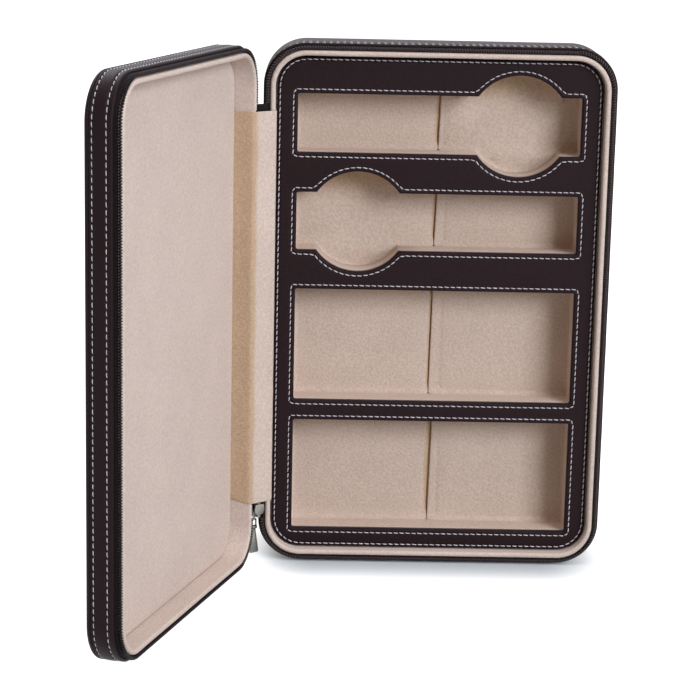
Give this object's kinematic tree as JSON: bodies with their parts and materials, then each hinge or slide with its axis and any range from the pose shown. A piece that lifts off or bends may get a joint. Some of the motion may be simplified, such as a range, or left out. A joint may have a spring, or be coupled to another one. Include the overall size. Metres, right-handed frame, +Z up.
{
  "type": "watch travel case",
  "caption": "Zip-round watch travel case in dark leather with a suede-lined lid, a framed insert with round and wide watch pockets, and a soft spine hinge",
  "frame": {"origin": "centre of the base shell's bottom end face, on which the open case stands", "axes": "+Z up along the spine, +Y from the viewer into the base shell, +X from the spine to the opening side of the base"},
  "size_m": [0.2497, 0.2034, 0.2685],
  "materials": {
    "leather": "smooth semi-gloss espresso leather",
    "suede": "napped cream suede cloth",
    "fibreboard": "stiff pressed board",
    "foam": "closed-cell foam",
    "zip_tape": "woven zip tape",
    "zip_coil": "nylon coil",
    "slider_metal": "polished plating"
  },
  "bodies": {
    "base": {"base_back_panel": "leather", "base_wall_leather": "leather", "base_core_shell": "fibreboard", "base_lip_lining": "suede", "base_foam_bed": "foam", "insert_carrier": "foam", "insert_frame_board": "fibreboard", "insert_frame_leather": "leather", "pocket_tray_1": "suede", "pocket_tray_2": "suede", "pocket_tray_3": "suede", "pocket_tray_4": "suede", "pocket_pad_1_left": "suede", "pocket_pad_1_right": "suede", "pocket_pad_2_left": "suede", "pocket_pad_2_right": "suede", "pocket_pad_3_left": "suede", "pocket_pad_3_right": "suede", "pocket_pad_4_left": "suede", "pocket_pad_4_right": "suede", "zip_tape_base": "zip_tape", "zip_coil_base": "zip_coil", "spine_leather": "leather", "spine_tape": "zip_tape", "spine_lining": "suede", "zip_end_piece": "zip_tape"},
    "lid": {"lid_cover": "leather", "lid_wall_leather": "leather", "lid_core_shell": "fibreboard", "lid_lip_lining": "suede", "lid_pad": "suede", "zip_tape_lid": "zip_tape", "zip_coil_lid": "zip_coil"},
    "slider": {"zip_slider": "slider_metal"},
    "pull_link": {"zip_pull_link": "slider_metal"},
    "pull_tab": {"zip_pull_tab": "slider_metal"}
  },
  "joints": [
    {"name": "lid_hinge", "type": "hinge", "parent": "base", "child": "lid", "pos_m": [-0.0897, -0.0175, 0.13425], "axis": [0, 0, 1], "range_deg": [-52, 108], "deforming": ["spine_leather", "spine_tape", "spine_lining", "zip_end_piece"]},
    {"name": "slider_turn", "type": "hinge", "parent": "base", "child": "slider", "pos_m": [-0.0897, -0.0175, 0.0276], "axis": [0, 0, 1], "range_deg": [-26, 54]},
    {"name": "pull_link_swing", "type": "hinge", "parent": "slider", "child": "pull_link", "pos_m": [-0.09082, -0.01596, 0.02485], "axis": [0.809, 0.5878, 0], "range_deg": [0, 90]},
    {"name": "pull_tab_swing", "type": "hinge", "parent": "pull_link", "child": "pull_tab", "pos_m": [-0.09082, -0.01596, 0.01785], "axis": [0.809, 0.5878, 0], "range_deg": [-10, 90]}
  ],
  "couplings": [
    {"joint": "slider_turn", "follows": "lid_hinge", "ratio": 0.5}
  ]
}
